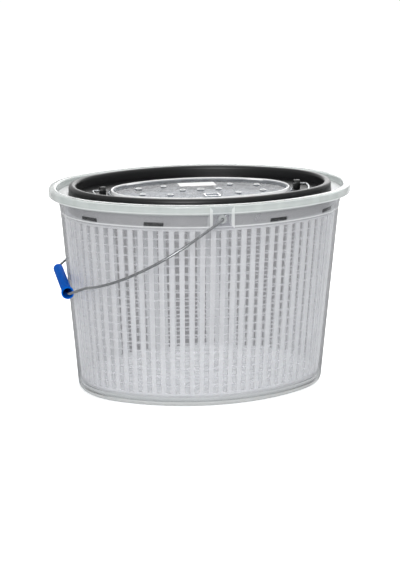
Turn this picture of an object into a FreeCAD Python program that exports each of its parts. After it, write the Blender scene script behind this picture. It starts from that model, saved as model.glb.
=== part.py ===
"""Oval live-bait bucket: clear bucket with a wire bail, and a lift-out strainer basket
closed by a cover ring with a push-in hatch lid. Millimetres, +Z up, origin at the centre
of the base, +X along the oval, the front ear at -Y."""
import FreeCAD
import Part
import math
import os

# Bucket: outer oval at the rim, and insets from that oval
bucket_length = 400.0
bucket_width = 285.2
bucket_height = 273.4
bucket_wall = 2.2
base_inset = 34.3
base_bevel = 8.0
foot_width = 9.0
foot_height = 3.0
floor_thickness = 2.6
floor_bevel = 6.0
collar_depth = 31.0
collar_foot_inset = 14.4
collar_head_inset = 12.0
collar_step = 0.5
rim_skirt = 10.6
rim_bevel = 3.0
mouth_inset = 10.5
ledge_depth = 11.7

# Bail ears, boxed under the rim at the middle of both long sides
ear_width = 31.0
ear_wall = 3.7
ear_plate = 2.2
ear_proud = 1.0
ear_depth = 29.2
ear_top_gap = 1.6
ear_boss_diameter = 10.8
ear_boss_height = 1.2
ear_boss_recess = 6.4
pivot_depth = 16.9

# Carry bail: galvanised wire, its ends hooked behind the ear plates
bail_wire = 3.4
bail_clearance = 0.4
bail_overhang = 13.0
bail_standoff = 3.2
bail_tail = 6.5
bail_tail_gap = 2.0
bail_bend = 4.0
bail_bow_round = 130.0
bail_shoulder_round = 12.0
bail_mouth_round = 10.0
bail_mouth_gap = 5.0
bail_bow_shares = (0.61, 1.3)
bail_shoulder_shares = (0.89, 0.622)

# Grip: moulded tube on the bail, flared at one end
grip_length = 130.0
grip_diameter = 13.2
grip_clearance = 0.4
grip_end_round = 2.5
flare_diameter = 16.4
flare_band = 3.0
flare_length = 9.0
mouth_diameter = 12.6
mouth_length = 12.0
grip_rest_gap = 0.3

# Strainer basket: grille of bars and hoops, hung by a flange on the bucket's ledge
basket_clearance = 3.5
basket_wall = 2.2
basket_floor_gap = 4.4
basket_floor = 2.4
basket_bevel = 5.0
flange_thickness = 2.2
flange_fit = 0.5
flange_rest_gap = 0.3
flange_inner_inset = 25.5
band_height = 25.4
rail_height = 7.6
slot_width = 6.2
end_columns = 13
side_columns = 23
slot_rows = 3
hoop_height = 2.6
drain_length = 58.0
drain_pitch_x = 70.0
drain_pitch_y = 24.0
drain_margin = 6.0

# Snap tabs of the cover ring, and the slots of the band that they fill
tab_width = 25.0
tab_height = 4.7
tab_clearance = 0.3
tab_rise = 6.2
tab_setback = 0.4
side_tab_share = 0.55
end_tab_share = 0.76

# Cover ring: raised hollow lip, skirt, and a deck with the hatch opening
ring_fit = 0.5
ring_wall = 2.0
ring_rise = 2.7
lip_width = 9.5
lip_bevel = 4.0
lip_inner_bevel = 2.0
deck_depth = 14.1
deck_seam = 10.0
skirt_depth = 34.1

# Hatch lid: oval panel with a raised bead, vents and a plug wall, in a channel of the deck
end_channel = 41.5
side_channel = 35.1
hatch_panel = 2.2
hatch_rest_gap = 0.3
bead_inset = 3.0
bead_width = 7.0
bead_slope = 1.5
bead_height = 3.5
plug_inset = 8.0
plug_wall = 1.8
plug_depth = 8.0
plug_clearance = 0.4
panel_seam = 14.0
vent_diameter = 5.6
centre_vent_diameter = 8.0
vent_shares = ((0.65, 0.257), (0.366, 0.383))
middle_vent_share = 0.197

# Basket handle: wire bail in two lugs of the deck, folded flat round the hatch lid
handle_wire = 3.0
handle_clearance = 0.3
handle_bend = 4.0
handle_leg = 8.0
handle_side_gap = 9.0
handle_end_proud = 1.0
handle_rest_gap = 0.3
lug_gap = 3.0
lug_thickness = 8.0
lug_width = 10.0
lug_height = 11.5
lug_round = 4.6
lug_pivot_height = 6.0

overrun = 2.0

# Places that follow from the sizes
half_length = bucket_length / 2
half_width = bucket_width / 2
collar_foot_z = bucket_height - collar_depth
wall_top_inset = collar_foot_inset + collar_step
draft = (base_inset - wall_top_inset) / collar_foot_z
floor_z = foot_height + floor_thickness
ledge_z = bucket_height - ledge_depth
pivot_z = bucket_height - pivot_depth
bail_reach = half_length + bail_overhang
ear_face_y = half_width + ear_proud
flange_z = ledge_z + flange_rest_gap
basket_floor_z = floor_z + basket_floor_gap
band_foot_z = flange_z - band_height
rail_top_z = basket_floor_z + rail_height
tab_z = band_foot_z + tab_rise
ring_inset = flange_inner_inset + ring_fit
ring_top_z = bucket_height + ring_rise
lip_inset = ring_inset + lip_width
deck_z = ring_top_z - deck_depth
hatch_length = bucket_length - 2 * (lip_inset + end_channel)
hatch_width = bucket_width - 2 * (lip_inset + side_channel)
hatch_z = deck_z + hatch_rest_gap
panel_z = hatch_z + hatch_panel
handle_z = deck_z + lug_pivot_height
lug_reach = hatch_length / 2 + lug_gap + lug_thickness / 2


class Oval:
    """Four tangent arcs: two ends of one radius and two sides of another."""

    def __init__(self, length, width):
        half_l, half_w = length / 2, width / 2
        diagonal = math.hypot(half_l, half_w)
        self.end_radius = (diagonal - half_l + half_w) / 2 * diagonal / half_l
        self.side_radius = (diagonal + half_l - half_w) / 2 * diagonal / half_w
        self.end_offset = half_l - self.end_radius
        self.side_offset = half_w - self.side_radius
        self.end_half_angle = math.degrees(math.atan2(abs(self.side_offset), abs(self.end_offset)))
        self.side_half_angle = 90 - self.end_half_angle

    def arcs(self):
        """Centre, radius, middle direction and half angle of each arc, anticlockwise."""
        end = (self.end_offset, 0), self.end_radius, self.end_half_angle
        side = (0, self.side_offset), self.side_radius, self.side_half_angle
        for turn in (0, 180):
            sign = math.cos(math.radians(turn))
            for (x, y), radius, half_angle, middle in ((*end, turn), (*side, turn + 90)):
                yield FreeCAD.Vector(sign * x, sign * y, 0), radius, middle, half_angle

    def ring(self, profile):
        """Solid ring round the oval from a closed profile of (inset, z) corners, some bevelled."""
        sectors = []
        for centre, radius, middle, half_angle in self.arcs():
            corners = [(FreeCAD.Vector(radius - c[0], 0, c[1]), *c[2:]) for c in profile]
            points = bevelled(corners)
            face = Part.Face(Part.makePolygon([*points, points[0]]))
            face.rotate(FreeCAD.Vector(), FreeCAD.Vector(0, 0, 1), middle - half_angle)
            face.translate(centre)
            sectors.append(face.revolve(centre, FreeCAD.Vector(0, 0, 1), 2 * half_angle))
        return sectors[0].fuse(sectors[1:]).removeSplitter()

    def plate(self, inset, low_z, high_z):
        """Flat oval plate at an inset from the outer oval."""
        edges = []
        for centre, radius, middle, half_angle in self.arcs():
            stops = [math.radians(middle + turn) for turn in (-half_angle, 0, half_angle)]
            reach = radius - inset
            points = [centre + FreeCAD.Vector(math.cos(a), math.sin(a), 0) * reach for a in stops]
            edges.append(Part.Arc(*points).toShape())
        plate = Part.Face(Part.Wire(edges)).extrude(FreeCAD.Vector(0, 0, high_z - low_z))
        plate.translate(FreeCAD.Vector(0, 0, low_z))
        return plate

    def holds(self, x, y, inset):
        """Whether a point lies inside the oval at this inset."""
        return all(
            math.hypot(x - centre.x, y - centre.y) < radius - inset
            for centre, radius, middle, _ in self.arcs()
            if math.cos(math.atan2(y - centre.y, x - centre.x) - math.radians(middle)) > 0
        )


def rounded_edges(corners, closed=False):
    """Straight runs joined by tangent arcs, through (point, radius) corners."""
    count = len(corners)
    stops = []
    for i, (point, *radius) in enumerate(corners):
        if not radius:
            stops.append((point, None, point))
            continue
        back = (corners[i - 1][0] - point).normalize()
        ahead = (corners[(i + 1) % count][0] - point).normalize()
        half_angle = back.getAngle(ahead) / 2
        reach = radius[0] / math.tan(half_angle)
        towards = (back + ahead).normalize()
        middle = point + towards * (radius[0] / math.sin(half_angle) - radius[0])
        stops.append((point + back * reach, middle, point + ahead * reach))
    edges = []
    for i, (start, middle, end) in enumerate(stops):
        if middle is not None:
            edges.append(Part.Arc(start, middle, end).toShape())
        if i + 1 < count or closed:
            following = stops[(i + 1) % count][0]
            if not end.isEqual(following, Part.Precision.confusion()):
                edges.append(Part.LineSegment(end, following).toShape())
    return edges


def bevelled(corners):
    """Points of a closed outline, each (point, reach) corner cut off by two chords of its round."""
    points = []
    for i, (point, *reach) in enumerate(corners):
        if not reach:
            points.append(point)
            continue
        back = (corners[i - 1][0] - point).normalize()
        ahead = (corners[(i + 1) % len(corners)][0] - point).normalize()
        half_angle = back.getAngle(ahead) / 2
        radius = reach[0] * math.tan(half_angle)
        crest = (back + ahead).normalize() * (radius / math.sin(half_angle) - radius)
        points += [point + back * reach[0], point + crest, point + ahead * reach[0]]
    return points


def bent_wire(corners, diameter):
    """Round wire swept along a bent path."""
    path = Part.Wire(rounded_edges(corners))
    end = path.OrderedEdges[0]
    place, heading = end.valueAt(end.FirstParameter), end.tangentAt(end.FirstParameter)
    section = Part.Wire(Part.Circle(place, heading, diameter / 2).toShape())
    return path.makePipeShell([section], True, False)


def block(low, high):
    """Box between two corners."""
    size = FreeCAD.Vector(*high) - FreeCAD.Vector(*low)
    return Part.makeBox(size.x, size.y, size.z, FreeCAD.Vector(*low))


def radial_block(arc, turn, width, face_inset, insets, low_z, high_z):
    """Block across an oval's wall with radial sides, its width taken at the wall's face."""
    centre, radius, middle, _ = arc
    near, far = radius - max(insets), radius - min(insets)
    spread = math.degrees(width / (radius - face_inset))
    section = [(near, low_z), (far, low_z), (far, high_z), (near, high_z), (near, low_z)]
    face = Part.Face(Part.makePolygon([FreeCAD.Vector(x, 0, z) for x, z in section]))
    face.rotate(FreeCAD.Vector(), FreeCAD.Vector(0, 0, 1), middle + turn - spread / 2)
    face.translate(centre)
    return face.revolve(centre, FreeCAD.Vector(0, 0, 1), spread)


def half_turned_pair(shape):
    """A shape and its copy turned half round the upright axis."""
    other = shape.copy()
    other.rotate(FreeCAD.Vector(), FreeCAD.Vector(0, 0, 1), 180)
    return [shape, other]


def along_y(diameter, start_y, end_y, z):
    """Cylinder along Y, over the middle of the bucket's side."""
    return Part.makeCylinder(
        diameter / 2, end_y - start_y, FreeCAD.Vector(0, start_y, z), FreeCAD.Vector(0, 1, 0)
    )


rim_oval = Oval(bucket_length, bucket_width)
hatch_oval = Oval(hatch_length, hatch_width)


def wall_inset(z):
    """Inset of the bucket's outer wall below the collar."""
    return base_inset - draft * z


def basket_inset(z):
    """Inset of the basket's outer wall, parallel to the bucket's inside."""
    return wall_inset(z) + bucket_wall + basket_clearance


def make_bucket_shell():
    floor_join = base_inset + base_bevel + foot_width
    ledge_foot_z = ledge_z - bucket_wall
    rim_foot_z = bucket_height - rim_skirt
    rim_roof_z = bucket_height - bucket_wall
    outside = [
        (floor_join, 0),
        (base_inset, 0, base_bevel),
        (wall_top_inset, collar_foot_z),
        (collar_foot_inset, collar_foot_z),
        (collar_head_inset, ledge_foot_z),
        (mouth_inset - bucket_wall, ledge_foot_z),
        (mouth_inset - bucket_wall, rim_roof_z),
        (bucket_wall, rim_roof_z),
        (bucket_wall, rim_foot_z),
        (0, rim_foot_z),
        (0, bucket_height, rim_bevel),
    ]
    inside = [
        (mouth_inset, bucket_height, rim_bevel),
        (mouth_inset, ledge_z),
        (collar_head_inset + bucket_wall, ledge_z),
        (wall_top_inset + bucket_wall, collar_foot_z),
        (wall_inset(floor_z) + bucket_wall, floor_z, floor_bevel),
        (floor_join, floor_z),
    ]
    floor = rim_oval.plate(floor_join, foot_height, floor_z)
    shell = rim_oval.ring(outside + inside).fuse([floor, *half_turned_pair(make_ear())])
    pivot_hole = along_y(
        bail_wire + 2 * bail_clearance, -ear_face_y - ear_boss_height, -ear_face_y + ear_plate, pivot_z
    )
    return shell.removeSplitter().cut(half_turned_pair(pivot_hole))


def make_ear():
    """Box under the rim with a pivot boss on its face, trimmed to the bucket's inside."""
    low_z = bucket_height - ear_depth
    high_z = bucket_height - ear_top_gap
    half_ear = ear_width / 2
    back_y = collar_foot_inset + bucket_wall - half_width
    box = block((-half_ear, -ear_face_y, low_z), (half_ear, back_y, high_z))
    pocket = block(
        (ear_wall - half_ear, ear_plate - ear_face_y, low_z + ear_wall),
        (half_ear - ear_wall, back_y, high_z),
    )
    mouth = rim_oval.ring([
        (base_inset, low_z),
        (wall_inset(low_z) + bucket_wall, low_z),
        (wall_top_inset + bucket_wall, collar_foot_z),
        (collar_head_inset + bucket_wall, ledge_z),
        (mouth_inset, ledge_z),
        (mouth_inset, bucket_height),
        (base_inset, bucket_height),
    ])
    boss = along_y(ear_boss_diameter, -ear_face_y - ear_boss_height, ear_plate - ear_face_y, pivot_z)
    recess = along_y(ear_boss_recess, -ear_face_y - ear_boss_height, -ear_face_y, pivot_z)
    return box.cut([pocket, mouth]).fuse(boss).cut(recess)


def bail_rest_angle():
    """Angle below level at which the hanging grip leans on the end wall."""
    slant = math.hypot(1, draft)
    wall_at_pivot = half_length - wall_inset(pivot_z)
    standing_off = (grip_diameter / 2 + grip_rest_gap) * slant
    return math.atan(draft) + math.acos((wall_at_pivot + standing_off) / (bail_reach * slant))


def on_bail(reach, y):
    """Point of the hanging bail, by its distance from the pivot line and its place along Y."""
    angle = bail_rest_angle()
    return FreeCAD.Vector(-reach * math.cos(angle), y, pivot_z - reach * math.sin(angle))


def make_carry_bail():
    tail_y = ear_face_y - ear_plate - bail_tail_gap - bail_wire / 2
    arm_y = ear_face_y + ear_boss_height + bail_standoff
    bow_reach_share, bow_width_share = bail_bow_shares
    shoulder_reach_share, shoulder_width_share = bail_shoulder_shares
    front_arm = [
        (-bail_tail, tail_y),
        (0, tail_y, bail_bend),
        (0, arm_y, bail_bend),
        (bail_reach * bow_reach_share, half_width * bow_width_share, bail_bow_round),
        (bail_reach * shoulder_reach_share, half_width * shoulder_width_share, bail_shoulder_round),
        (bail_reach, grip_length / 2 + bail_mouth_gap, bail_mouth_round),
    ]
    front = [(on_bail(reach, -y), *radius) for reach, y, *radius in front_arm]
    back = [(on_bail(reach, y), *radius) for reach, y, *radius in reversed(front_arm)]
    return bent_wire(front + back, bail_wire)


def make_bail_grip():
    """Tube turned about the wire, with a flared mouth at the front end."""
    half_grip = grip_length / 2
    bore = bail_wire / 2 + grip_clearance
    profile = [
        (mouth_diameter / 2, -half_grip),
        (flare_diameter / 2, -half_grip),
        (flare_diameter / 2, flare_band - half_grip),
        (grip_diameter / 2, flare_length - half_grip),
        (grip_diameter / 2, half_grip, grip_end_round),
        (bore, half_grip),
        (bore, mouth_length - half_grip),
    ]
    corners = [(FreeCAD.Vector(r, y, 0), *radius) for r, y, *radius in profile]
    face = Part.Face(Part.Wire(rounded_edges(corners, closed=True)))
    grip = face.revolve(FreeCAD.Vector(), FreeCAD.Vector(0, 1, 0), 360)
    grip.translate(on_bail(bail_reach, 0))
    return grip


def tab_blocks(spare, insets):
    """Eight blocks round the band, for the snap tabs or for their slots."""
    blocks = []
    for arc, share in zip(rim_oval.arcs(), (end_tab_share, side_tab_share) * 2):
        for side in (-1, 1):
            turn = side * share * arc[-1]
            width = tab_width + 2 * spare
            low_z, high_z = tab_z - spare, tab_z + tab_height + spare
            blocks.append(radial_block(arc, turn, width, basket_inset(tab_z), insets, low_z, high_z))
    return blocks


def make_strainer_basket():
    floor_top_z = basket_floor_z + basket_floor
    floor_join = basket_inset(basket_floor_z) + 2 * basket_bevel
    flange_outer_inset = mouth_inset + flange_fit
    profile = [
        (floor_join, basket_floor_z),
        (basket_inset(basket_floor_z), basket_floor_z, basket_bevel),
        (basket_inset(flange_z), flange_z),
        (flange_outer_inset, flange_z),
        (flange_outer_inset, flange_z + flange_thickness),
        (flange_inner_inset, flange_z + flange_thickness),
        (flange_inner_inset, flange_z),
        (basket_inset(flange_z) + basket_wall, flange_z),
        (basket_inset(floor_top_z) + basket_wall, floor_top_z, basket_bevel - basket_wall),
        (floor_join, floor_top_z),
    ]
    basket = rim_oval.ring(profile).fuse(rim_oval.plate(floor_join, basket_floor_z, floor_top_z))
    return basket.removeSplitter().cut(wall_slots() + tab_slots() + floor_drains())


def wall_slots():
    """Windows of the grille: rows between the hoops, columns between the bars."""
    face_inset = basket_inset(band_foot_z)
    insets = face_inset - overrun, basket_inset(rail_top_z) + basket_wall + overrun
    pitch = (band_foot_z - rail_top_z + hoop_height) / slot_rows
    slots = []
    for arc, columns in zip(rim_oval.arcs(), (end_columns, side_columns) * 2):
        step = 2 * arc[-1] / columns
        for column in range(columns):
            turn = (column + 1 / 2) * step - arc[-1]
            for row in range(slot_rows):
                low_z = rail_top_z + row * pitch
                high_z = low_z + pitch - hoop_height
                slots.append(radial_block(arc, turn, slot_width, face_inset, insets, low_z, high_z))
    return slots


def tab_slots():
    """Slots of the solid band for the cover ring's snap tabs."""
    insets = basket_inset(tab_z + tab_height) - overrun, basket_inset(tab_z) + basket_wall + overrun
    return tab_blocks(tab_clearance, insets)


def floor_drains():
    """Rows of drain slots, as many as the floor holds."""
    inset = basket_inset(basket_floor_z) + basket_bevel + drain_margin
    rows = int(half_width / drain_pitch_y)
    columns = int(half_length / drain_pitch_x)
    drains = []
    for row in range(-rows, rows + 1):
        for column in range(-columns, columns + 1):
            x, y = column * drain_pitch_x, row * drain_pitch_y
            reach_x, reach_y = abs(x) + drain_length / 2, abs(y) + slot_width / 2
            if rim_oval.holds(reach_x, reach_y, inset):
                low = x - drain_length / 2, y - slot_width / 2, basket_floor_z - overrun
                high = x + drain_length / 2, y + slot_width / 2, basket_floor_z + basket_floor + overrun
                drains.append(block(low, high))
    return drains


def make_cover_ring():
    skirt_z = ring_top_z - skirt_depth
    roof_z = ring_top_z - ring_wall
    deck_foot_z = deck_z - ring_wall
    deck_join = lip_inset + deck_seam
    profile = [
        (ring_inset, skirt_z),
        (ring_inset, ring_top_z, lip_bevel),
        (lip_inset, ring_top_z, lip_bevel),
        (lip_inset, deck_z),
        (deck_join, deck_z),
        (deck_join, deck_foot_z),
        (lip_inset - ring_wall, deck_foot_z),
        (lip_inset - ring_wall, roof_z, lip_inner_bevel),
        (ring_inset + ring_wall, roof_z, lip_inner_bevel),
        (ring_inset + ring_wall, skirt_z),
    ]
    tab_insets = ring_inset + ring_wall, basket_inset(tab_z) + tab_setback
    opening = hatch_oval.plate(plug_inset - plug_clearance, deck_foot_z, deck_z)
    deck = rim_oval.plate(deck_join, deck_foot_z, deck_z).cut(opening)
    ring = rim_oval.ring(profile).fuse([deck, *tab_blocks(0, tab_insets), *half_turned_pair(make_lug())])
    return ring.removeSplitter()


def make_lug():
    """Round-topped lug on the deck with the handle's pivot hole along X."""
    half_lug = lug_width / 2
    near_x = lug_reach - lug_thickness / 2
    top_z = deck_z + lug_height
    corners = [
        (FreeCAD.Vector(near_x, -half_lug, deck_z),),
        (FreeCAD.Vector(near_x, half_lug, deck_z),),
        (FreeCAD.Vector(near_x, half_lug, top_z), lug_round),
        (FreeCAD.Vector(near_x, -half_lug, top_z), lug_round),
    ]
    face = Part.Face(Part.Wire(rounded_edges(corners, closed=True)))
    hole = Part.makeCylinder(
        handle_wire / 2 + handle_clearance,
        lug_thickness,
        FreeCAD.Vector(near_x, 0, handle_z),
        FreeCAD.Vector(1, 0, 0),
    )
    return face.extrude(FreeCAD.Vector(lug_thickness, 0, 0)).cut(hole)


def make_hatch_lid():
    bead_z = panel_z + bead_height
    bead_end = bead_inset + bead_width
    plug_end = plug_inset + plug_wall
    profile = [
        (0, hatch_z),
        (0, panel_z),
        (bead_inset, panel_z),
        (bead_inset + bead_slope, bead_z),
        (bead_end - bead_slope, bead_z),
        (bead_end, panel_z),
        (panel_seam, panel_z),
        (panel_seam, hatch_z),
        (plug_end, hatch_z),
        (plug_end, hatch_z - plug_depth),
        (plug_inset, hatch_z - plug_depth),
        (plug_inset, hatch_z),
    ]
    lid = hatch_oval.ring(profile).fuse(hatch_oval.plate(panel_seam, hatch_z, panel_z))
    return lid.removeSplitter().cut(vents())


def vents():
    """Air vents: four sets mirrored about both axes, a pair, and a wider one in the middle."""
    half_l, half_w = hatch_length / 2, hatch_width / 2
    places = [(side * middle_vent_share * half_l, 0, vent_diameter) for side in (-1, 1)]
    places.append((0, 0, centre_vent_diameter))
    for x_share, y_share in vent_shares:
        for x_side in (-1, 1):
            for y_side in (-1, 1):
                places.append((x_side * x_share * half_l, y_side * y_share * half_w, vent_diameter))
    return [
        Part.makeCylinder(diameter / 2, hatch_panel, FreeCAD.Vector(x, y, hatch_z))
        for x, y, diameter in places
    ]


def make_basket_handle():
    """Half oval of wire, its ends turned in through the lugs, drooping until it meets the deck."""
    leg_x = lug_reach + lug_thickness / 2 + handle_side_gap
    end_x = lug_reach - lug_thickness / 2 - handle_end_proud
    reach = (hatch_width / 2 + half_width - lip_inset) / 2
    droop = math.asin((handle_z - deck_z - handle_wire / 2 - handle_rest_gap) / reach)
    bow = Oval(2 * leg_x, 2 * (reach - handle_leg))
    bow_angle = math.radians(bow.end_half_angle)
    turn_in = handle_leg + bow.end_radius * math.tan(bow_angle / 2)
    crown = handle_leg + bow.side_offset + bow.side_radius / math.sin(bow_angle)
    right = [(end_x, 0), (leg_x, 0, handle_bend), (leg_x, turn_in, bow.end_radius)]
    left = [(-x, out, *radius) for x, out, *radius in reversed(right)]
    corners = [
        (FreeCAD.Vector(x, -out * math.cos(droop), handle_z - out * math.sin(droop)), *radius)
        for x, out, *radius in [*right, (0, crown, bow.side_radius), *left]
    ]
    return bent_wire(corners, handle_wire)


PARTS = {
    "bucket_shell": make_bucket_shell,
    "carry_bail": make_carry_bail,
    "bail_grip": make_bail_grip,
    "strainer_basket": make_strainer_basket,
    "cover_ring": make_cover_ring,
    "hatch_lid": make_hatch_lid,
    "basket_handle": make_basket_handle,
}

if __name__ == "__main__":
    os.makedirs("parts", exist_ok=True)
    for node, make in PARTS.items():
        make().exportStep("parts/" + node + ".step")
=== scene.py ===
"""Oval live-bait bucket: a clear bucket with a wire bail, and inside it a strainer basket closed by
a black cover ring with a vented clear lid. Metres, +Z up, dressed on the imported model."""
import math

import bpy
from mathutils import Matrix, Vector


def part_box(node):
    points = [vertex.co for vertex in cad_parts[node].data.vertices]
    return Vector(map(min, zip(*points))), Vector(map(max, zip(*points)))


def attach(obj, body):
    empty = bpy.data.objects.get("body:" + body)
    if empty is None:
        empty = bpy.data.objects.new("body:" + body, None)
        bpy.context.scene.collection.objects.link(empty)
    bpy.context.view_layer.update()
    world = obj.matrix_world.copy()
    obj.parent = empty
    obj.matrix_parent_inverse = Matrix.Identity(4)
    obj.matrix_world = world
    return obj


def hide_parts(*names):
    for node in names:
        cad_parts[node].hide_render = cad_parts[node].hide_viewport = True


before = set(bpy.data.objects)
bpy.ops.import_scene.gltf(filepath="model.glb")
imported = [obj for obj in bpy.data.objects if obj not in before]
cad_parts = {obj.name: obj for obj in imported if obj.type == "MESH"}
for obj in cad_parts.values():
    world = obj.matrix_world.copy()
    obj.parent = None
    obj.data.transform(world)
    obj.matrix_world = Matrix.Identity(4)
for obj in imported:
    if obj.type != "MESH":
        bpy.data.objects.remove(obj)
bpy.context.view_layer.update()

# Bucket: one clear polypropylene moulding, oval, with a broad collar under a down-turned rim and a
# floor raised inside its foot. Its outline is traced once and spun about the four arcs of the oval.
bucket_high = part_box("bucket_shell")[1]
rim_half_length = bucket_high.x
rim_half_width = 0.1426
rim_z = bucket_high.z
rim_round = 0.003
skirt_depth = 0.0106
skirt_foot_z = rim_z - skirt_depth
mouth_inset = 0.0105
ledge_depth = 0.0117
ledge_z = rim_z - ledge_depth
collar_depth = 0.031
collar_foot_z = rim_z - collar_depth
collar_foot_inset = 0.0144
collar_head_inset = 0.012
# Height of the narrow bands at the feet of skirt and collar that carry a painted highlight.
painted_highlight_band = 0.0014
wall = 0.0022
wall_top_inset = 0.0149
base_inset = 0.0343
base_round = 0.008
foot_width = 0.009
foot_height = 0.003
floor_z = 0.0056
floor_join = base_inset + base_round + foot_width
round_steps = 4
end_steps = 27
side_steps = 45
smooth_angle = math.radians(32)
tolerance = 1e-5


def oval_arcs(half_length, half_width):
    """Radii, centres and end half-angle of the four arcs of an oval."""
    diagonal = math.hypot(half_length, half_width)
    end_radius = (diagonal - half_length + half_width) / 2 * diagonal / half_length
    side_radius = (diagonal + half_length - half_width) / 2 * diagonal / half_width
    end_x, side_y = half_length - end_radius, side_radius - half_width
    return end_radius, side_radius, end_x, side_y, math.atan2(side_y, end_x)


def rounded(corners):
    """Points of an outline, with each corner that has a radius turned into an arc."""
    points = []
    for i, (first, second, *radius) in enumerate(corners):
        here = Vector((first, second))
        if not radius:
            points.append(here)
            continue
        back = (Vector(corners[i - 1][:2]) - here).normalized()
        ahead = (Vector(corners[(i + 1) % len(corners)][:2]) - here).normalized()
        half_angle = back.angle(ahead) / 2
        centre = here + (back + ahead).normalized() * radius[0] / math.sin(half_angle)
        start, end = (here + way * radius[0] / math.tan(half_angle) - centre for way in (back, ahead))
        for step in range(round_steps + 1):
            points.append(centre + start.slerp(end, step / round_steps).normalized() * radius[0])
    return points


def trace(name, places, closed):
    """Starts a piece as a line through these places, left in edit mode with all of it selected."""
    bpy.ops.object.select_all(action="DESELECT")
    bpy.ops.mesh.primitive_plane_add(size=wall)
    piece = bpy.context.object
    piece.name = name
    bpy.ops.object.mode_set(mode="EDIT")
    bpy.ops.mesh.select_mode(type="VERT")
    bpy.ops.mesh.merge(type="CENTER")
    bpy.ops.transform.translate(value=places[0])
    for here, there in zip(places, places[1:] + places[:1] if closed else places[1:]):
        bpy.ops.mesh.extrude_region_move(TRANSFORM_OT_translate={"value": there - here})
    bpy.ops.mesh.select_all(action="SELECT")
    bpy.ops.mesh.remove_doubles(threshold=tolerance)
    return piece


def merge_and_face_out():
    """Merges the seams of the mesh in edit mode, turns its faces outwards and leaves edit mode."""
    bpy.ops.mesh.select_all(action="SELECT")
    bpy.ops.mesh.remove_doubles(threshold=tolerance)
    bpy.ops.mesh.normals_make_consistent(inside=False)
    bpy.ops.object.mode_set(mode="OBJECT")


def oval_ring(name, half_length, half_width, corners, closed=True):
    """Spins an outline of (inset, z) corners about the centres of an oval's four arcs."""
    end_radius, side_radius, end_x, side_y, end_angle = oval_arcs(half_length, half_width)
    places = []
    for inset, z in rounded(corners):
        reach = end_radius - inset
        places.append(Vector((end_x + reach * math.cos(end_angle), reach * math.sin(end_angle), z)))
    piece = trace(name, places, closed)
    for turn in (1, -1):
        for steps, angle, centre in (
            (end_steps, 2 * end_angle, (turn * end_x, 0, 0)),
            (side_steps, math.pi - 2 * end_angle, (0, turn * side_y, 0)),
        ):
            bpy.ops.mesh.spin(steps=steps, angle=angle, center=centre, axis=(0, 0, 1))
    merge_and_face_out()
    return piece


def pick(piece, kind, test):
    """Selects the vertices, edges or faces of a piece whose corners pass a test, in edit mode."""
    bpy.ops.object.select_all(action="DESELECT")
    piece.select_set(True)
    bpy.context.view_layer.objects.active = piece
    bpy.ops.object.mode_set(mode="EDIT")
    bpy.ops.mesh.select_mode(type=kind)
    bpy.ops.mesh.select_all(action="DESELECT")
    bpy.ops.object.mode_set(mode="OBJECT")
    points = piece.data.vertices
    if kind == "VERT":
        for point in points:
            point.select = test([point.co])
    else:
        for item in piece.data.polygons if kind == "FACE" else piece.data.edges:
            item.select = test([points[i].co for i in item.vertices])
    bpy.ops.object.mode_set(mode="EDIT")


def close_loop(piece, z):
    """Closes the open loop of a piece at this height with one face."""
    pick(piece, "VERT", lambda corners: abs(corners[0].z - z) < tolerance)
    bpy.ops.mesh.fill_holes(sides=0)
    merge_and_face_out()


def join(piece, *others):
    """Joins the parts of one moulding and smooths its rounds."""
    bpy.ops.object.select_all(action="DESELECT")
    for each in (piece, *others):
        each.select_set(True)
    bpy.context.view_layer.objects.active = piece
    if others:
        bpy.ops.object.join()
    bpy.ops.object.shade_smooth_by_angle(angle=smooth_angle)


def wall_inset(z):
    """Inset of the bucket's outer wall below the collar."""
    return base_inset + (wall_top_inset - base_inset) * z / collar_foot_z


bucket = oval_ring("clear_bucket", rim_half_length, rim_half_width, [
    (floor_join, foot_height),
    (floor_join, 0),
    (base_inset, 0, base_round),
    (wall_top_inset, collar_foot_z),
    (collar_foot_inset, collar_foot_z),
    (collar_foot_inset, collar_foot_z + painted_highlight_band),
    (collar_head_inset, ledge_z - wall),
    (mouth_inset - wall, ledge_z - wall),
    (mouth_inset - wall, rim_z - wall),
    (wall, rim_z - wall),
    (wall, skirt_foot_z),
    (0, skirt_foot_z),
    (0, skirt_foot_z + painted_highlight_band),
    (0, rim_z, rim_round),
    (mouth_inset, rim_z, rim_round),
    (mouth_inset, ledge_z),
    (collar_head_inset + wall, ledge_z),
    (wall_top_inset + wall, collar_foot_z),
    (wall_inset(floor_z) + wall, floor_z, base_round),
    (floor_join, floor_z),
], closed=False)
close_loop(bucket, foot_height)
close_loop(bucket, floor_z)

# Bail ears: boxes moulded under the rim at the middle of the long sides, open behind, each with a
# round boss on its face for the bail's end. They are part of the bucket's moulding.
ear_width = 0.031
ear_wall = 0.0037
ear_plate = 0.0022
ear_proud = 0.001
ear_face_y = rim_half_width + ear_proud
ear_back_y = rim_half_width - collar_foot_inset
ear_foot_depth = 0.0292
ear_foot_z = rim_z - ear_foot_depth
ear_head_depth = 0.0016
ear_head_z = rim_z - ear_head_depth
pivot_z = 0.2565
boss_radius = 0.0054
boss_bore = 0.0032
boss_height = 0.0012
boss_bore_depth = 0.9 * boss_height
boss_sides = 40


def copies(pattern, places):
    """Copies of a pattern, each with its own mesh, turned about Z and moved; the pattern itself goes."""
    pieces = []
    for place, turn in places:
        bpy.ops.object.select_all(action="DESELECT")
        pattern.select_set(True)
        bpy.context.view_layer.objects.active = pattern
        bpy.ops.object.duplicate()
        piece = bpy.context.object
        piece.location = place
        piece.rotation_euler.z = turn
        bpy.ops.object.transform_apply()
        pieces.append(piece)
    bpy.data.objects.remove(pattern)
    return pieces


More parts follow.
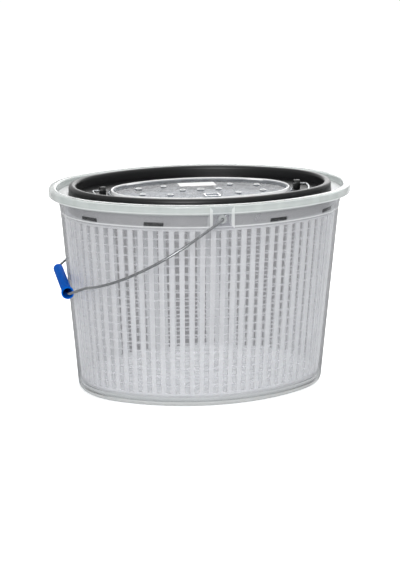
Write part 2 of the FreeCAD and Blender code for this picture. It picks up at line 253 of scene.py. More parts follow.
bpy.ops.object.select_all(action="DESELECT")
bpy.ops.mesh.primitive_cube_add(
    size=1,
    location=(0, -(ear_face_y + ear_back_y) / 2, (ear_foot_z + ear_head_z) / 2),
    scale=(ear_width, ear_face_y - ear_back_y, ear_head_z - ear_foot_z),
)
ear = bpy.context.object
bpy.ops.object.transform_apply()
pick(ear, "FACE", lambda corners: all(abs(corner.y + ear_face_y) < tolerance for corner in corners))
bpy.ops.mesh.inset(thickness=ear_wall, use_even_offset=True)
bpy.ops.object.mode_set(mode="OBJECT")
pick(ear, "FACE", lambda corners: all(abs(corner.y + ear_back_y) < tolerance for corner in corners))
bpy.ops.mesh.inset(thickness=ear_wall, use_even_offset=True)
pocket_y = ear_back_y - ear_face_y + ear_plate
bpy.ops.mesh.extrude_region_move(TRANSFORM_OT_translate={"value": (0, pocket_y, 0)})
bpy.ops.object.mode_set(mode="OBJECT")
bpy.ops.mesh.primitive_cylinder_add(
    vertices=boss_sides,
    radius=boss_radius,
    depth=boss_height,
    location=(0, -(ear_face_y + boss_height / 2), pivot_z),
    rotation=(math.pi / 2, 0, 0),
)
boss = bpy.context.object
bpy.ops.object.transform_apply()
boss_y = -(ear_face_y + boss_height)
pick(boss, "FACE", lambda corners: all(abs(corner.y - boss_y) < tolerance for corner in corners))
bpy.ops.mesh.inset(thickness=boss_radius - boss_bore)
bpy.ops.mesh.extrude_region_move(TRANSFORM_OT_translate={"value": (0, boss_bore_depth, 0)})
bpy.ops.object.mode_set(mode="OBJECT")
join(ear, boss)
join(bucket, *copies(ear, [(Vector(), 0), (Vector(), math.pi)]))


def linear(hex_colour):
    """Linear RGBA of an sRGB hex colour."""
    channels = [int(hex_colour[i:i + 2], 16) / 255 for i in (0, 2, 4)]
    return [c / 12.92 if c <= 0.04045 else ((c + 0.055) / 1.055) ** 2.4 for c in channels] + [1]


def add(owner, kind, inputs, stops=(), **settings):
    """Adds a node to a material or world: its settings, ramp colours, and a value or link per input."""
    node = owner.node_tree.nodes.new(kind)
    for name, value in settings.items():
        setattr(node, name, value)
    for i, (position, hex_colour) in enumerate(stops):
        node.color_ramp.elements[i].position = position
        node.color_ramp.elements[i].color = linear(hex_colour)
    for name, value in inputs.items():
        if isinstance(value, bpy.types.NodeSocket):
            owner.node_tree.links.new(value, node.inputs[name])
        else:
            node.inputs[name].default_value = value
    return node


def bare_material(name):
    """A material with no nodes yet."""
    material = bpy.data.materials.new(name)
    material.use_nodes = True
    material.node_tree.nodes.clear()
    return material


def part_clear(material, share, clear, plastic):
    """Finishes a material as clear plastic with this share of solid, most of which casts no shadow."""
    shaded = add(material, "ShaderNodeLightPath", {}).outputs["Is Shadow Ray"]
    passing = add(material, "ShaderNodeMapRange", {"Value": shaded, "To Min": 1.0, "To Max": 0.3})
    solid = add(material, "ShaderNodeMath", {0: share, 1: passing.outputs["Result"]}, operation="MULTIPLY")
    mix = add(material, "ShaderNodeMixShader", {
        0: solid.outputs[0], 1: clear.outputs[0], 2: plastic.outputs[0],
    })
    add(material, "ShaderNodeOutputMaterial", {"Surface": mix.outputs[0]})


# Moulded clear polypropylene lets the eye look in through a faint haze, in streaks where the plastic
# flowed. Seen edge on the haze thickens and darkens, so walls end in a grey line and rims look pale.
def clear_moulding(name, body, face, edge, face_haze, edge_haze, patchiness, patch_width=0.02):
    """Clear moulded polypropylene: see-through face on, hazy in patches, denser and darker edge on."""
    ripple_size = 0.03
    patch_length = 0.3
    material = bare_material(name)
    place = add(material, "ShaderNodeTexCoord", {}).outputs["Object"]
    ripple = add(material, "ShaderNodeTexNoise", {"Vector": place, "Scale": 1 / ripple_size, "Detail": 2})
    stretch = add(material, "ShaderNodeMapping", {
        "Vector": place, "Scale": (1 / patch_width, 1 / patch_width, 1 / patch_length),
    })
    flow = add(material, "ShaderNodeTexNoise", {"Vector": stretch.outputs[0], "Scale": 1.0, "Detail": 2})
    facing = add(material, "ShaderNodeLayerWeight", {"Blend": 0.3}).outputs["Facing"]
    patches = add(material, "ShaderNodeMapRange", {
        "Value": flow.outputs["Fac"], "From Min": 0.35, "From Max": 0.7,
        "To Min": face_haze, "To Max": face_haze * patchiness,
    })
    haze = add(material, "ShaderNodeMapRange", {
        "Value": facing, "From Min": 0.3, "From Max": 0.8,
        "To Min": patches.outputs["Result"], "To Max": edge_haze,
    })
    depth = add(material, "ShaderNodeValToRGB", {"Fac": facing}, stops=((0.6, face), (0.92, edge)))
    bump = add(material, "ShaderNodeBump", {
        "Height": ripple.outputs["Fac"], "Strength": 0.15, "Distance": 0.002,
    })
    plastic = add(material, "ShaderNodeBsdfPrincipled", {
        "Base Color": linear(body),
        "Roughness": 0.2,
        "IOR": 1.49,
        "Coat Weight": 1.0,
        "Coat Roughness": 0.05,
        "Normal": bump.outputs["Normal"],
    })
    clear = add(material, "ShaderNodeBsdfTransparent", {"Color": depth.outputs["Color"]})
    part_clear(material, haze.outputs["Result"], clear, plastic)
    return material


bucket.data.materials.append(clear_moulding(
    "clear_moulded_polypropylene", body="E6E8EA", face="FBFBFC", edge="A0A6AA",
    face_haze=0.02, edge_haze=0.24, patchiness=2,
))
bucket.data.materials.append(clear_moulding(
    "thick_clear_moulded_polypropylene", body="E2E6E4", face="F4F6F6", edge="BEC4C4",
    face_haze=0.36, edge_haze=0.6, patchiness=1.2,
))
# A denser, whiter haze, which paints a highlight on the faces it is given to.
bucket.data.materials.append(clear_moulding(
    "painted_highlight_moulded_polypropylene", body="F6F8F8", face="FAFBFB", edge="D8DCDC",
    face_haze=0.5, edge_haze=0.7, patchiness=1.1,
))


def give(piece, finish, test):
    """Gives the faces of a piece that pass a test one of the piece's materials, by its name."""
    piece.active_material_index = piece.data.materials.find(finish)
    pick(piece, "FACE", test)
    bpy.ops.object.material_slot_assign()
    bpy.ops.object.mode_set(mode="OBJECT")


def at_ear(corner):
    """Whether a place is on one of the ears."""
    return abs(corner.x) < ear_width / 2 + tolerance and abs(corner.y) > ear_back_y - wall


# The rim with its ledge and the bosses are thick, and so look denser than the wall.
# The feet of skirt and collar, the ears' sides and the base get a denser white haze, a painted highlight.
give(bucket, "thick_clear_moulded_polypropylene", lambda corners: all(
    corner.z > ledge_z - 2 * wall and not (at_ear(corner) and abs(corner.y) > rim_half_width)
    for corner in corners
))
give(bucket, "painted_highlight_moulded_polypropylene", lambda corners: any(
    all(foot_z - tolerance < corner.z < foot_z + painted_highlight_band + tolerance for corner in corners)
    for foot_z in (skirt_foot_z, collar_foot_z)
) or all(
    at_ear(corner) and abs(corner.x) > ear_width / 2 - ear_wall - tolerance and corner.x * corners[0].x > 0
    for corner in corners
))
give(bucket, "thick_clear_moulded_polypropylene", lambda corners: all(
    abs(corner.y) > ear_face_y + tolerance for corner in corners
))
give(bucket, "painted_highlight_moulded_polypropylene", lambda corners: all(
    corner.z < floor_z + base_round + tolerance for corner in corners
))
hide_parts("bucket_shell")
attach(bucket, "bucket")

# Carry bail: drawn steel wire with a zinc coat, bent to shape, its ends hooked behind the ears' plates.
# The solid is the wire already, so it keeps its shape and gets only its finish.
zinc_mottle = 0.004
# Galvanised wire is drawn as a mid-grey metal, darker than bright zinc: a painted shade for the darker
# surroundings it reflects. It has a soft mottle and shows one bright streak where it bends.
galvanised_wire = bare_material("drawn_galvanised_steel")
place = add(galvanised_wire, "ShaderNodeTexCoord", {}).outputs["Object"]
mottle = add(galvanised_wire, "ShaderNodeTexNoise", {
    "Vector": place, "Scale": 1 / zinc_mottle, "Detail": 3,
}).outputs["Fac"]
dullness = add(galvanised_wire, "ShaderNodeMapRange", {"Value": mottle, "To Min": 0.16, "To Max": 0.3})
darkened_zinc = add(galvanised_wire, "ShaderNodeValToRGB", {"Fac": mottle}, stops=(
    (0.3, "707274"), (0.7, "8C8E90"),
))
steel = add(galvanised_wire, "ShaderNodeBsdfPrincipled", {
    "Base Color": darkened_zinc.outputs["Color"], "Metallic": 1.0, "Roughness": dullness.outputs["Result"],
})
add(galvanised_wire, "ShaderNodeOutputMaterial", {"Surface": steel.outputs[0]})
carry_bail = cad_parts["carry_bail"]
carry_bail.data.materials.clear()
carry_bail.data.materials.append(galvanised_wire)

# Grip: a blue polyethylene tube, moulded with one rounded end and one open, flared end. It is threaded
# on the bail and turns on it, so its outline is spun about the bail's own line.
grip_low, grip_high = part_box("bail_grip")
grip_axis_x = (grip_low.x + grip_high.x) / 2
grip_axis_z = (grip_low.z + grip_high.z) / 2
grip_half = grip_high.y
grip_radius = 0.0066
grip_bore = 0.0021
grip_round = 0.0025
flare_radius = 0.0082
flare_band = 0.003
flare_length = 0.009
flare_ease = 0.01
grip_mouth = 0.0063
grip_mouth_depth = 0.040
grip_edge_round = 0.0008
grip_sides = 40
grip_outline = rounded([
    (grip_bore, grip_half),
    (grip_radius, grip_half, grip_round),
    (grip_radius, flare_band + flare_length - grip_half, flare_ease),
    (flare_radius, flare_band - grip_half, grip_edge_round),
    (flare_radius, -grip_half, grip_edge_round),
    (grip_mouth, -grip_half, grip_edge_round),
    (grip_mouth, grip_mouth_depth - grip_half),
    (grip_bore, grip_mouth_depth - grip_half),
])
grip = trace("blue_bail_grip", [Vector((grip_axis_x + r, y, grip_axis_z)) for r, y in grip_outline], True)
bpy.ops.mesh.spin(
    steps=grip_sides, angle=math.tau, center=(grip_axis_x, 0, grip_axis_z), axis=(0, 1, 0)
)
merge_and_face_out()
join(grip)
grip_grain = 0.003
# Moulded polyethylene is waxy: a deep even blue with hardly any gloss and a slightly uneven skin.
blue_polyethylene = bare_material("blue_moulded_polyethylene")
place = add(blue_polyethylene, "ShaderNodeTexCoord", {}).outputs["Object"]
skin = add(blue_polyethylene, "ShaderNodeTexNoise", {
    "Vector": place, "Scale": 1 / grip_grain, "Detail": 3,
}).outputs["Fac"]
sheen = add(blue_polyethylene, "ShaderNodeMapRange", {"Value": skin, "To Min": 0.45, "To Max": 0.6})
blue = add(blue_polyethylene, "ShaderNodeValToRGB", {"Fac": skin}, stops=(
    (0.3, "0458C0"), (0.7, "0868D6"),
))
bump = add(blue_polyethylene, "ShaderNodeBump", {"Height": skin, "Strength": 0.1, "Distance": 0.0005})
plastic = add(blue_polyethylene, "ShaderNodeBsdfPrincipled", {
    "Base Color": blue.outputs["Color"],
    "Roughness": sheen.outputs["Result"],
    "IOR": 1.51,
    "Specular IOR Level": 0.005,
    "Normal": bump.outputs["Normal"],
})
add(blue_polyethylene, "ShaderNodeOutputMaterial", {"Surface": plastic.outputs[0]})
grip.data.materials.append(blue_polyethylene)
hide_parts("bail_grip")
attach(grip, "grip")

# Strainer basket: one milky polypropylene moulding, a close grille of upright bars on thinner hoops,
# with drain slots in its floor, a solid band at its head and a flange that hangs on the bucket's ledge.
basket_low, basket_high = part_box("strainer_basket")
basket_clearance = 0.0035
basket_wall = 0.0022
basket_round = 0.005
flange_clearance = 0.0005
flange_foot_z = basket_high.z - basket_wall
flange_outer_inset = mouth_inset + flange_clearance
flange_inner_inset = 0.0255
flange_round = 0.0008
band_height = 0.0254
band_foot_z = flange_foot_z - band_height
rail_height = 0.0076
rail_top_z = basket_low.z + rail_height
hoop_height = 0.0018
grille_rows = 19
bar_proud = 0.001


def basket_inset(z):
    """Inset of the basket's outer wall, parallel to the bucket's inside."""
    return wall_inset(z) + wall + basket_clearance


def grille_column(x, y):
    """Which upright strip of the basket's wall a place is in, counted along its arc."""
    end_radius, side_radius, end_x, side_y, end_angle = oval_arcs(rim_half_length, rim_half_width)
    turn = math.atan2(abs(y), abs(x) - end_x)
    if turn < end_angle:
        turn = math.atan2(y, abs(x) - end_x)
        return math.floor((turn + end_angle) / (2 * end_angle) * end_steps)
    half_turn = math.pi / 2 - end_angle
    turn = math.atan2(x, abs(y) + side_y)
    return math.floor((turn + half_turn) / (2 * half_turn) * side_steps) + 1


def in_grille(corners, bars):
    """Whether a face of the basket's wall is in the grille, in its bars or in the strips between."""
    middle = sum(corners, Vector()) / len(corners)
    if not rail_top_z < middle.z < band_foot_z:
        return False
    return grille_column(middle.x, middle.y) % 2 == (0 if bars else 1)


row_pitch = (band_foot_z - rail_top_z + hoop_height) / grille_rows
levels = [flange_foot_z]
for row in reversed(range(grille_rows)):
    hole_foot_z = rail_top_z + row * row_pitch
    levels += [hole_foot_z + row_pitch - hoop_height, hole_foot_z]
basket = oval_ring("milky_strainer_basket", rim_half_length, rim_half_width, [
    *((basket_inset(z), z) for z in levels),
    (basket_inset(basket_low.z), basket_low.z, basket_round),
    (basket_inset(basket_low.z) + 2 * basket_round, basket_low.z),
], closed=False)
close_loop(basket, basket_low.z)
pick(basket, "FACE", lambda corners: (
    in_grille(corners, False) and max(c.z for c in corners) - min(c.z for c in corners) > 2 * hoop_height
))
bpy.ops.mesh.delete(type="FACE")
bpy.ops.object.mode_set(mode="OBJECT")
shell = basket.modifiers.new("shell", "SOLIDIFY")
shell.thickness = basket_wall
bpy.ops.object.modifier_apply(modifier=shell.name)


def outer_face(corners):
    """Whether a face of the basket's wall is on its outside."""
    outward_share = 0.7
    normal = (corners[1] - corners[0]).cross(corners[2] - corners[0])
    outward = normal.x * corners[0].x + normal.y * corners[0].y
    return outward > outward_share * normal.length * corners[0].xy.length


def cut(piece, cutters):
    """Cuts these blocks out of a piece, and removes them."""
    join(*cutters)
    bpy.ops.object.select_all(action="DESELECT")
    bpy.context.view_layer.objects.active = piece
    piece.select_set(True)
    opening = piece.modifiers.new("opening", "BOOLEAN")
    opening.object = cutters[0]
    bpy.ops.object.modifier_apply(modifier=opening.name)
    bpy.data.objects.remove(cutters[0])


drain_length = 0.058
drain_width = 0.0062
drain_round = 0.003
drain_pitch_x = 0.07
drain_pitch_y = 0.024
drain_rows = 3
bpy.ops.object.select_all(action="DESELECT")
bpy.ops.mesh.primitive_cube_add(size=1, scale=(drain_length, drain_width, 4 * basket_wall))
drain = bpy.context.object
bpy.ops.object.transform_apply()
pick(drain, "EDGE", lambda corners: abs(corners[0].z - corners[1].z) > basket_wall)
bpy.ops.mesh.bevel(offset=drain_round, segments=4, affect="EDGES")
bpy.ops.object.mode_set(mode="OBJECT")
cut(basket, copies(drain, [
    (Vector((column * drain_pitch_x, row * drain_pitch_y, basket_low.z)), 0)
    for row in range(-drain_rows, drain_rows + 1)
    for column in (-1, 0, 1)
    if abs(row) < drain_rows or column == 0
]))
tab_width = 0.025
tab_height = 0.0047
tab_rise = 0.0062
tab_z = band_foot_z + tab_rise
tab_round = 0.0012
tab_clearance = 0.0003
end_tab_share = 0.76
side_tab_share = 0.55


def soften(piece, width, segments):
    """Rounds all the edges of the active piece a little."""
    bevel = piece.modifiers.new("soften", "BEVEL")
    bevel.width = width
    bevel.segments = segments
    bpy.ops.object.modifier_apply(modifier=bevel.name)


def tab_blocks(spare, outer_inset, inner_inset):
    """Eight blocks round the band, for the cover ring's tabs or for their slots."""
    bpy.ops.object.select_all(action="DESELECT")
    bpy.ops.mesh.primitive_cube_add(
        size=1, scale=(inner_inset - outer_inset, tab_width + 2 * spare, tab_height + 2 * spare)
    )
    block = bpy.context.object
    bpy.ops.object.transform_apply()
    soften(block, width=tab_round, segments=3)
    end_radius, side_radius, end_x, side_y, end_angle = oval_arcs(rim_half_length, rim_half_width)
    end_reach = end_tab_share * end_angle
    side_reach = side_tab_share * (math.pi / 2 - end_angle)
    middle_inset = (outer_inset + inner_inset) / 2
    places = []
    for centre_x, centre_y, radius, middle, reach in (
        (end_x, 0, end_radius, 0, end_reach),
        (0, -side_y, side_radius, math.pi / 2, side_reach),
        (-end_x, 0, end_radius, math.pi, end_reach),
        (0, side_y, side_radius, -math.pi / 2, side_reach),
    ):
        for turn in (middle - reach, middle + reach):
            away = Vector((math.cos(turn), math.sin(turn), 0)) * (radius - middle_inset)
            places.append((Vector((centre_x, centre_y, tab_z + tab_height / 2)) + away, turn))
    return copies(block, places)


band_inset = basket_inset(tab_z)
cut(basket, tab_blocks(tab_clearance, band_inset - basket_wall, band_inset + 2 * basket_wall))
pick(basket, "FACE", lambda corners: in_grille(corners, True) and outer_face(corners))
bpy.ops.mesh.extrude_region_shrink_fatten(TRANSFORM_OT_shrink_fatten={"value": bar_proud})
bpy.ops.object.mode_set(mode="OBJECT")
flange = oval_ring("basket_flange", rim_half_length, rim_half_width, [
    (flange_outer_inset, flange_foot_z, flange_round),
    (flange_outer_inset, basket_high.z, flange_round),
    (flange_inner_inset, basket_high.z, flange_round),
    (flange_inner_inset, flange_foot_z, flange_round),
])
join(basket, flange)


# Moulded milky polypropylene is white but lets light through, so the basket's inside is bright too.
# Its bars look whiter than its thin hoops, and its floor and flange are nearly opaque.
def milky_moulding(name, wall_share, band_share):
    """Milky moulded polypropylene, with one share of white in its wall and another in its band."""
    cloud_size = 0.02
    band_fade = 0.003
    material = bare_material(name)
    place = add(material, "ShaderNodeTexCoord", {}).outputs["Object"]
    cloud = add(material, "ShaderNodeTexNoise", {"Vector": place, "Scale": 1 / cloud_size, "Detail": 3})
    tint = add(material, "ShaderNodeValToRGB", {"Fac": cloud.outputs["Fac"]}, stops=(
        (0.3, "ECECED"), (0.7, "F4F4F4"),
    ))
    height = add(material, "ShaderNodeSeparateXYZ", {"Vector": place}).outputs["Z"]
    density = add(material, "ShaderNodeMapRange", {
        "Value": height, "From Min": band_foot_z, "From Max": band_foot_z + band_fade,
        "To Min": wall_share, "To Max": band_share,
    })
    plastic = add(material, "ShaderNodeBsdfPrincipled", {
        "Base Color": tint.outputs["Color"], "Roughness": 0.35, "IOR": 1.49,
    })
    clear = add(material, "ShaderNodeBsdfTransparent", {"Color": linear("F8F9F9")})
    part_clear(material, density.outputs["Result"], clear, plastic)
    return material


for name, wall_share, band_share in (
    ("milky_moulded_polypropylene", 0.5, 0.27),
    ("thin_milky_moulded_polypropylene", 0.33, 0.27),
    ("thick_milky_moulded_polypropylene", 0.85, 0.7),
):
    basket.data.materials.append(milky_moulding(name, wall_share, band_share))
give(basket, "thin_milky_moulded_polypropylene", lambda corners: in_grille(corners, False))
give(basket, "thick_milky_moulded_polypropylene", lambda corners: all(
    corner.z < basket_low.z + 2 * basket_wall or corner.z > flange_foot_z - tolerance for corner in corners
))
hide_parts("strainer_basket")
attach(basket, "basket")

# Cover ring: black polypropylene, moulded as a raised hollow lip with a skirt inside the basket's band
# and a sunk deck round the hatch opening. Eight tabs snap into the band, two lugs carry the handle.
ring_low, ring_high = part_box("cover_ring")
ring_inset = 0.026
ring_wall = 0.002
lip_width = 0.0095
lip_inset = ring_inset + lip_width
lip_round = 0.004
deck_depth = 0.0141
deck_z = ring_high.z - deck_depth
hatch_half_length = 0.123
hatch_half_width = 0.072
opening_inset = 0.0076
tab_setback = 0.0004
ring = oval_ring("black_cover_ring", rim_half_length, rim_half_width, [
    (ring_inset, ring_low.z),
    (ring_inset, ring_high.z, lip_round),
    (lip_inset, ring_high.z, lip_round),
    (lip_inset, deck_z),
], closed=False)
opening = oval_ring(
    "hatch_opening", hatch_half_length, hatch_half_width, [(opening_inset, deck_z)], closed=False
)
join(ring, opening)
pick(ring, "EDGE", lambda corners: all(abs(corner.z - deck_z) < tolerance for corner in corners))
bpy.ops.mesh.fill()
merge_and_face_out()
shell = ring.modifiers.new("shell", "SOLIDIFY")
shell.thickness = ring_wall
shell.use_even_offset = True
bpy.ops.object.modifier_apply(modifier=shell.name)
tabs = tab_blocks(0, band_inset + tab_setback, ring_inset + ring_wall)
lug_reach = 0.130
lug_thickness = 0.008
lug_width = 0.010
lug_height = 0.0115
lug_round = 0.0045
lug_edge_round = 0.0006
bpy.ops.object.select_all(action="DESELECT")
bpy.ops.mesh.primitive_cube_add(size=1, scale=(lug_thickness, lug_width, lug_height))
lug = bpy.context.object
bpy.ops.object.transform_apply()
pick(lug, "EDGE", lambda corners: (
    all(corner.z > 0 for corner in corners) and abs(corners[0].y - corners[1].y) < tolerance
))
bpy.ops.mesh.bevel(offset=lug_round, segments=6, affect="EDGES")
bpy.ops.object.mode_set(mode="OBJECT")
soften(lug, width=lug_edge_round, segments=2)
lugs = copies(lug, [(Vector((side * lug_reach, 0, deck_z + lug_height / 2)), 0) for side in (-1, 1)])
join(ring, *tabs, *lugs)
ring_grain = 0.0015
# Moulded black polypropylene is a soft satin black, with broad pale highlights along the lip. Its grain
# is drawn coarser than the real one, so that it breaks the highlights up in the render.
black_polypropylene = bare_material("black_moulded_polypropylene")
place = add(black_polypropylene, "ShaderNodeTexCoord", {}).outputs["Object"]
skin = add(black_polypropylene, "ShaderNodeTexNoise", {
    "Vector": place, "Scale": 1 / ring_grain, "Detail": 4,
}).outputs["Fac"]
sheen = add(black_polypropylene, "ShaderNodeMapRange", {"Value": skin, "To Min": 0.28, "To Max": 0.42})
bump = add(black_polypropylene, "ShaderNodeBump", {"Height": skin, "Strength": 0.12, "Distance": 0.0005})
black = add(black_polypropylene, "ShaderNodeValToRGB", {"Fac": skin}, stops=(
    (0.3, "060708"), (0.7, "0B0C0D"),
))
plastic = add(black_polypropylene, "ShaderNodeBsdfPrincipled", {
    "Base Color": black.outputs["Color"],
    "Roughness": sheen.outputs["Result"],
    "IOR": 1.49,
    "Specular IOR Level": 0.32,
    "Normal": bump.outputs["Normal"],
})
add(black_polypropylene, "ShaderNodeOutputMaterial", {"Surface": plastic.outputs[0]})
ring.data.materials.append(black_polypropylene)
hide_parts("cover_ring")
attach(ring, "basket")

# Hatch lid: a clear polypropylene panel with a raised bead, and a plug wall that pushes into the deck's
# opening. It has eleven round vents with a collar round each, and a small raised frame near the front.
hatch_low, hatch_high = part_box("hatch_lid")
panel_gap = 0.0003
panel_foot_z = deck_z + panel_gap
panel_thickness = 0.0022
panel_z = panel_foot_z + panel_thickness
panel_round = 0.0008
panel_seam = 0.014
bead_inset = 0.003
bead_slope = 0.0015
bead_width = 0.007
bead_middle = bead_inset + bead_width / 2
bead_round = 0.0006
bead_crest_round = 0.001
bead_groove_depth = 0.0014
bead_groove_z = hatch_high.z - bead_groove_depth
plug_inset = 0.008
plug_wall = 0.0018
hatch = oval_ring("clear_hatch_lid", hatch_half_length, hatch_half_width, [
    (panel_seam, panel_z),
    (bead_inset + bead_width, panel_z),
    (bead_inset + bead_width - bead_slope, bead_groove_z, bead_round),
    (bead_middle, bead_groove_z, bead_round),
    (bead_middle - bead_slope / 2, hatch_high.z, bead_round),
    (bead_inset + bead_slope, hatch_high.z, bead_crest_round),
    (bead_inset, panel_z),
    (0, panel_z, panel_round),
    (0, panel_foot_z, panel_round),
    (plug_inset, panel_foot_z),
    (plug_inset, hatch_low.z),
    (plug_inset + plug_wall, hatch_low.z),
    (plug_inset + plug_wall, panel_foot_z),
    (panel_seam, panel_foot_z),
], closed=False)
close_loop(hatch, panel_z)
close_loop(hatch, panel_foot_z)
vent_radius = 0.0028
centre_vent_radius = 0.004
vent_sides = 24
collar_width = 0.0013
collar_height = 0.0014
collar_round = 0.0005
collar_sink = 0.0005
vent_shares = ((0.65, 0.257), (0.366, 0.383))
middle_vent_share = 0.197
small_vents = [(side * middle_vent_share * hatch_half_length, 0) for side in (-1, 1)]
for x_share, y_share in vent_shares:
    x, y = x_share * hatch_half_length, y_share * hatch_half_width
    small_vents += [(x, y), (-x, y), (x, -y), (-x, -y)]
drills = []
collars = []
for radius, vents in ((centre_vent_radius, [(0, 0)]), (vent_radius, small_vents)):
    places = [(Vector((x, y, panel_z)), 0) for x, y in vents]
    bpy.ops.object.select_all(action="DESELECT")
    bpy.ops.mesh.primitive_cylinder_add(vertices=vent_sides, radius=radius, depth=4 * wall)
    drills += copies(bpy.context.object, places)
    collar_outline = rounded([
        (radius, -collar_sink),
        (radius, collar_height, collar_round),
        (radius + collar_width, collar_height, collar_round),
        (radius + collar_width, -collar_sink),
    ])
    collar = trace("vent_collar", [Vector((r, 0, z)) for r, z in collar_outline], True)
    bpy.ops.mesh.spin(steps=vent_sides, angle=math.tau, center=(0, 0, 0), axis=(0, 0, 1))
    merge_and_face_out()
    collars += copies(collar, places)
cut(hatch, drills)
rib_x, rib_y = 0.008, -0.0385
rib_length = 0.020
rib_width = 0.017
rib_thickness = 0.0016
rib_height = 0.0012
bpy.ops.object.select_all(action="DESELECT")
bpy.ops.mesh.primitive_plane_add(size=1, location=(rib_x, rib_y, panel_z))
rib = bpy.context.object
rib.scale = (rib_length, rib_width, 1)
bpy.ops.object.transform_apply()
pick(rib, "FACE", lambda corners: True)
bpy.ops.mesh.inset(thickness=rib_thickness)
bpy.ops.mesh.delete(type="FACE")
bpy.ops.mesh.select_all(action="SELECT")
bpy.ops.mesh.extrude_region_move(TRANSFORM_OT_translate={"value": (0, 0, rib_height)})
merge_and_face_out()
join(hatch, rib, *collars)
# The lid's clear plastic is greyer than the bucket's, and hazy in small patches. The bead's crest and
# the raised details get a dense white haze, a painted highlight, so they show as white lines and rings.
hatch.data.materials.append(clear_moulding(
    "clear_moulded_lid_polypropylene", body="D8DADC", face="D4D7DB", edge="949BA3",
    face_haze=0.06, edge_haze=0.2, patchiness=3.5, patch_width=0.012,
))
hatch.data.materials.append(clear_moulding(
    "painted_highlight_lid_polypropylene", body="FAFBFB", face="FAFBFB", edge="E8ECEC",
    face_haze=0.85, edge_haze=0.95, patchiness=1.05,
))
crest_z = bead_groove_z + 0.0002
detail_z = panel_z + 0.0004
detail_reach_x = hatch_half_length - 4 * bead_width
detail_reach_y = 0.05
give(hatch, "painted_highlight_lid_polypropylene", lambda corners: any(
    corner.z > crest_z for corner in corners
) or all(
    corner.z > detail_z and abs(corner.x) < detail_reach_x and abs(corner.y) < detail_reach_y
    for corner in corners
))
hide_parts("hatch_lid")
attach(hatch, "hatch")

# Lid label: a blank white paper sticker with rounded corners, cut from coated paper and stuck on the
# lid's panel behind the vents.
label_x, label_y = 0.00175, 0.0375
label_length = 0.0495
label_width = 0.023
label_round = 0.002
label_thickness = 0.0002
bpy.ops.object.select_all(action="DESELECT")
bpy.ops.mesh.primitive_plane_add(size=1, location=(label_x, label_y, panel_z + label_thickness))
label = bpy.context.object
label.name = "lid_label"
label.scale = (label_length, label_width, 1)
bpy.ops.object.transform_apply()
pick(label, "VERT", lambda corners: True)
bpy.ops.mesh.bevel(offset=label_round, segments=4, affect="VERTICES")
bpy.ops.object.mode_set(mode="OBJECT")
body = label.modifiers.new("body", "SOLIDIFY")
body.thickness = label_thickness
bpy.ops.object.modifier_apply(modifier=body.name)
paper_fibre = 0.0012
# Coated paper is an even, slightly warm white with a dull gloss. Its fibres are drawn coarser than the
# real ones, so that they show.
white_paper = bare_material("white_coated_paper")
place = add(white_paper, "ShaderNodeTexCoord", {}).outputs["Object"]
fibre = add(white_paper, "ShaderNodeTexNoise", {"Vector": place, "Scale": 1 / paper_fibre, "Detail": 4})
tint = add(white_paper, "ShaderNodeValToRGB", {"Fac": fibre.outputs["Fac"]}, stops=(
    (0, "EEEEEC"), (1, "F8F8F6"),
))
paper = add(white_paper, "ShaderNodeBsdfPrincipled", {
    "Base Color": tint.outputs["Color"], "Roughness": 0.5, "IOR": 1.45,
})
add(white_paper, "ShaderNodeOutputMaterial", {"Surface": paper.outputs[0]})
label.data.materials.append(white_paper)
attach(label, "hatch")

# Basket handle: a second, thinner bail of the same galvanised wire, sprung into the deck's two lugs and
# folded flat round the lid. The solid keeps its shape and gets the wire's finish.
basket_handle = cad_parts["basket_handle"]
basket_handle.data.materials.clear()
basket_handle.data.materials.append(galvanised_wire)

# Floor: a plain white studio sweep with the bucket's soft shadow on it. The camera and reflections see
# it white, and behind clear plastic it is darker, a painted shade, so that the gaps in the grille read as
# openings.
sweep_size = 30
bpy.ops.object.select_all(action="DESELECT")
bpy.ops.mesh.primitive_plane_add(size=sweep_size)
floor = bpy.context.object
floor.name = "floor"
white_sweep = bare_material("white_studio_sweep")
ray = add(white_sweep, "ShaderNodeLightPath", {})
through = add(white_sweep, "ShaderNodeMath", {
    0: ray.outputs["Transparent Depth"], 1: 0.5,
}, operation="GREATER_THAN")
bright_or_painted_shade = add(white_sweep, "ShaderNodeMapRange", {
    "Value": through.outputs[0], "To Min": 1.8, "To Max": 0.28,
})
reflected = add(white_sweep, "ShaderNodeMath", {
    0: ray.outputs["Is Glossy Ray"], 1: ray.outputs["Is Transmission Ray"],
}, operation="MAXIMUM")
mirrored = add(white_sweep, "ShaderNodeMapRange", {
    "Value": reflected.outputs[0], "To Min": 0.8, "To Max": 1.0,
})
white = add(white_sweep, "ShaderNodeMapRange", {
    "Value": ray.outputs["Is Camera Ray"],
    "To Min": mirrored.outputs["Result"],
    "To Max": bright_or_painted_shade.outputs["Result"],
})
paper = add(white_sweep, "ShaderNodeBsdfDiffuse", {"Color": white.outputs["Result"]})
add(white_sweep, "ShaderNodeOutputMaterial", {"Surface": paper.outputs[0]})
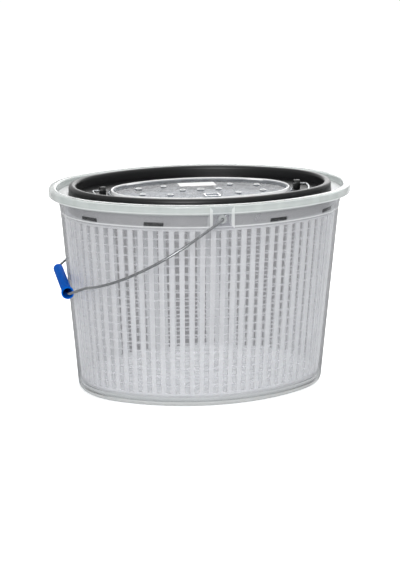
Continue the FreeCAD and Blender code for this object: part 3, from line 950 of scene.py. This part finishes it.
floor.data.materials.append(white_sweep)

# Studio light: a broad soft key above the camera, so that the shadow lies behind the bucket, a panel
# overhead for the lid and the rim, and one behind that lights the plastic through. The room is white
# to the camera and to reflections, and fills the shadows evenly with less.
lamp_aim = Vector((0, 0, 0.15))


def turn_to(piece, target):
    """Turns a lamp or the camera towards a place."""
    piece.rotation_euler = (target - piece.location).to_track_quat("-Z", "Y").to_euler()


for name, kind, position, strength, spread, width in (
    ("key", "SUN", (-0.36, -1.9, 0.8), 1.75, "angle", math.radians(20)),
    ("top", "AREA", (0.1, 0.2, 2.2), 11, "size", 1.0),
    ("back", "AREA", (0.7, 1.8, 1.1), 15, "size", 1.5),
):
    bpy.ops.object.light_add(type=kind, location=position)
    lamp = bpy.context.object
    lamp.name = name
    lamp.data.energy = strength
    setattr(lamp.data, spread, width)
    turn_to(lamp, lamp_aim)
world = bpy.data.worlds.new("room")
world.use_nodes = True
ray = add(world, "ShaderNodeLightPath", {})
seen = ray.outputs["Is Camera Ray"]
for kind in ("Is Glossy Ray", "Is Transmission Ray"):
    seen = add(world, "ShaderNodeMath", {0: seen, 1: ray.outputs[kind]}, operation="MAXIMUM").outputs[0]
glow = add(world, "ShaderNodeMapRange", {"Value": seen, "To Min": 0.4, "To Max": 1.0})
room = world.node_tree.nodes["Background"]
room.inputs["Color"].default_value = linear("FFFFFF")
world.node_tree.links.new(glow.outputs["Result"], room.inputs["Strength"])
bpy.context.scene.world = world

# Camera: the photograph's view, from a little above and to the left, through a long lens. The shift
# only sets the framing. A ray can meet many clear walls in a row, so it may pass more than is usual.
camera_aim = Vector((0, 0, 0.1367))
clear_walls = 48
bpy.ops.object.camera_add(location=(-0.3579, -1.8946, 0.6568))
camera = bpy.context.object
turn_to(camera, camera_aim)
camera.data.lens = 94.1
camera.data.shift_x = -0.0012
camera.data.shift_y = -0.0028
bpy.context.scene.camera = camera
bpy.context.scene.cycles.transparent_max_bounces = clear_walls
bpy.context.scene.view_settings.view_transform = "Standard"
